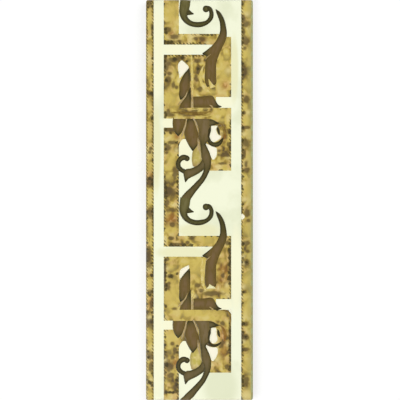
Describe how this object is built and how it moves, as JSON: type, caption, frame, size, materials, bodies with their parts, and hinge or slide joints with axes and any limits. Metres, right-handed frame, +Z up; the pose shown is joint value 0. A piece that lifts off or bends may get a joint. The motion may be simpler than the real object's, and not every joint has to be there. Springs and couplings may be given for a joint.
{
  "type": "border tile",
  "caption": "Flat rectangular glazed ceramic border tile with a rounded face edge, tapered sides and a keyed back, laid end to end as a decorative band in a tiled wall.",
  "frame": {"origin": "middle of the back, on the plane of the key lands that the tile rests on", "axes": "+X across the border, +Y along it, +Z up through the thickness, out of the glazed face"},
  "size_m": [0.08, 0.3, 0.008],
  "materials": {
    "cream_glaze": "gloss",
    "gold_glaze": "gloss",
    "brown_glaze": "gloss"
  },
  "bodies": {
    "root": {"border_tile": "cream_glaze"}
  },
  "joints": []
}
